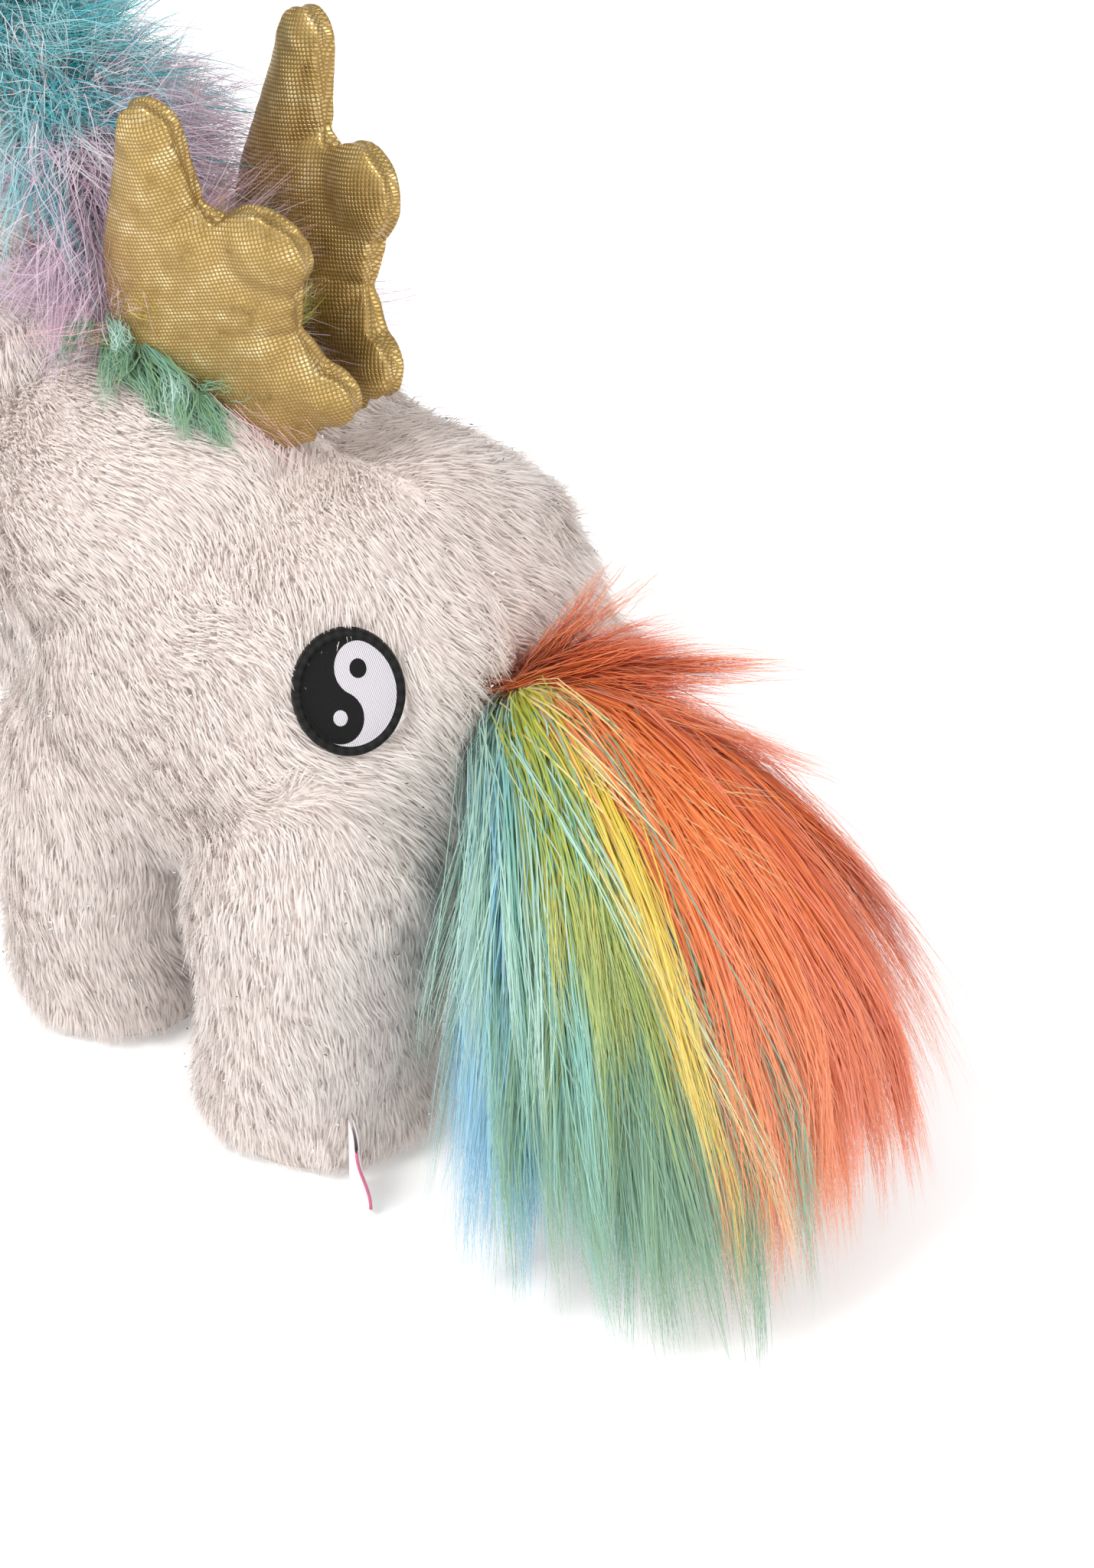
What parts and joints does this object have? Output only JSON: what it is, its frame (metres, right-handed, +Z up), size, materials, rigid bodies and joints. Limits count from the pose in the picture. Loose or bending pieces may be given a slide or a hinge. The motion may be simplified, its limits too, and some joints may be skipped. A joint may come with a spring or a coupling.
{
  "type": "plush unicorn",
  "caption": "Stuffed toy unicorn standing on its feet, with quilted metallic wings, horn and ears that flex and a long-haired mane and tail.",
  "frame": {"origin": "centre of the bounding box on the floor that the feet stand on", "axes": "the head faces -Y, the toy's own left side is +X, +Z is up"},
  "size_m": [0.122, 0.3056, 0.2524],
  "materials": {
    "plush": "short-pile off-white plush with silver flecks",
    "sole_plush": "short-pile off-white plush, pressed flat",
    "filling": "loose white polyester fibre",
    "gold_lame": "knitted lame with gold foil dots",
    "embroidery": "satin-stitched thread",
    "label_ribbon": "woven ribbon, folded",
    "mane_pile": "long-pile multicoloured fur fabric",
    "tail_pile": "long-pile multicoloured fur fabric",
    "eye_plastic": "glossy black",
    "washer_plastic": "plain moulded"
  },
  "bodies": {
    "body": {"body_left_panel": "plush", "body_right_panel": "plush", "belly_gusset": "plush", "body_filling": "filling", "front_left_leg": "plush", "front_right_leg": "plush", "hind_left_leg": "plush", "hind_right_leg": "plush", "front_left_sole": "sole_plush", "front_right_sole": "sole_plush", "hind_left_sole": "sole_plush", "hind_right_sole": "sole_plush", "front_left_leg_filling": "filling", "front_right_leg_filling": "filling", "hind_left_leg_filling": "filling", "hind_right_leg_filling": "filling", "hip_patch": "embroidery", "mane_withers": "mane_pile"},
    "label": {"care_label": "label_ribbon"},
    "neck": {"neck_cover": "plush", "neck_filling": "filling"},
    "head": {"head_left_panel": "plush", "head_right_panel": "plush", "muzzle": "plush", "head_filling": "filling", "eye_left": "eye_plastic", "eye_right": "eye_plastic", "eye_left_washer": "washer_plastic", "eye_right_washer": "washer_plastic", "nostril_left": "embroidery", "nostril_right": "embroidery", "mouth_stitch": "embroidery", "mane_crest": "mane_pile", "forelock": "mane_pile", "horn_cover": "gold_lame", "horn_filling": "filling"},
    "ear_left": {"ear_left_outer": "plush", "ear_left_lining": "gold_lame"},
    "ear_right": {"ear_right_outer": "plush", "ear_right_lining": "gold_lame"},
    "wing_left": {"wing_left_outer_panel": "gold_lame", "wing_left_inner_panel": "gold_lame", "wing_left_filling": "filling"},
    "wing_right": {"wing_right_outer_panel": "gold_lame", "wing_right_inner_panel": "gold_lame", "wing_right_filling": "filling"},
    "tail_root": {"tail_root": "tail_pile"},
    "tail": {"tail_hair": "tail_pile"}
  },
  "joints": [
    {"name": "head_turn", "type": "hinge", "parent": "body", "child": "neck", "pos_m": [0, -0.0573, 0.13008], "axis": [0, 0, 1], "range_deg": [-20, 20], "stiffness_Nm_per_rad": 1.2},
    {"name": "head_nod", "type": "hinge", "parent": "neck", "child": "head", "pos_m": [0, -0.0573, 0.13008], "axis": [1, 0, 0], "range_deg": [-12, 12], "stiffness_Nm_per_rad": 1.5},
    {"name": "ear_left_fold", "type": "hinge", "parent": "head", "child": "ear_left", "pos_m": [0.0261, -0.0831, 0.19415], "axis": [0.6689, 0.406, -0.6227], "range_deg": [-25, 35], "stiffness_Nm_per_rad": 0.02},
    {"name": "ear_right_fold", "type": "hinge", "parent": "head", "child": "ear_right", "pos_m": [-0.0261, -0.0831, 0.19415], "axis": [0.6689, -0.406, 0.6227], "range_deg": [-25, 35], "stiffness_Nm_per_rad": 0.02},
    {"name": "wing_left_flap", "type": "hinge", "parent": "body", "child": "wing_left", "pos_m": [0.0175, -0.0321, 0.15354], "axis": [-0.2569, 0.8729, -0.4147], "range_deg": [-2, 32], "stiffness_Nm_per_rad": 0.1},
    {"name": "wing_right_flap", "type": "hinge", "parent": "body", "child": "wing_right", "pos_m": [-0.0175, -0.0321, 0.15354], "axis": [-0.2569, -0.8729, 0.4147], "range_deg": [-2, 32], "stiffness_Nm_per_rad": 0.1},
    {"name": "tail_swing", "type": "hinge", "parent": "body", "child": "tail_root", "pos_m": [0, 0.0582, 0.097], "axis": [0, 0, 1], "range_deg": [-10, 18], "stiffness_Nm_per_rad": 0.5},
    {"name": "tail_lift", "type": "hinge", "parent": "tail_root", "child": "tail", "pos_m": [0, 0.0582, 0.097], "axis": [1, 0, 0], "range_deg": [0, 45], "stiffness_Nm_per_rad": 0.5},
    {"name": "label_flip", "type": "hinge", "parent": "body", "child": "label", "pos_m": [0.0502, 0.05541, 0.002], "axis": [0, 0, 1], "range_deg": [-35, 35], "stiffness_Nm_per_rad": 0.0005}
  ]
}
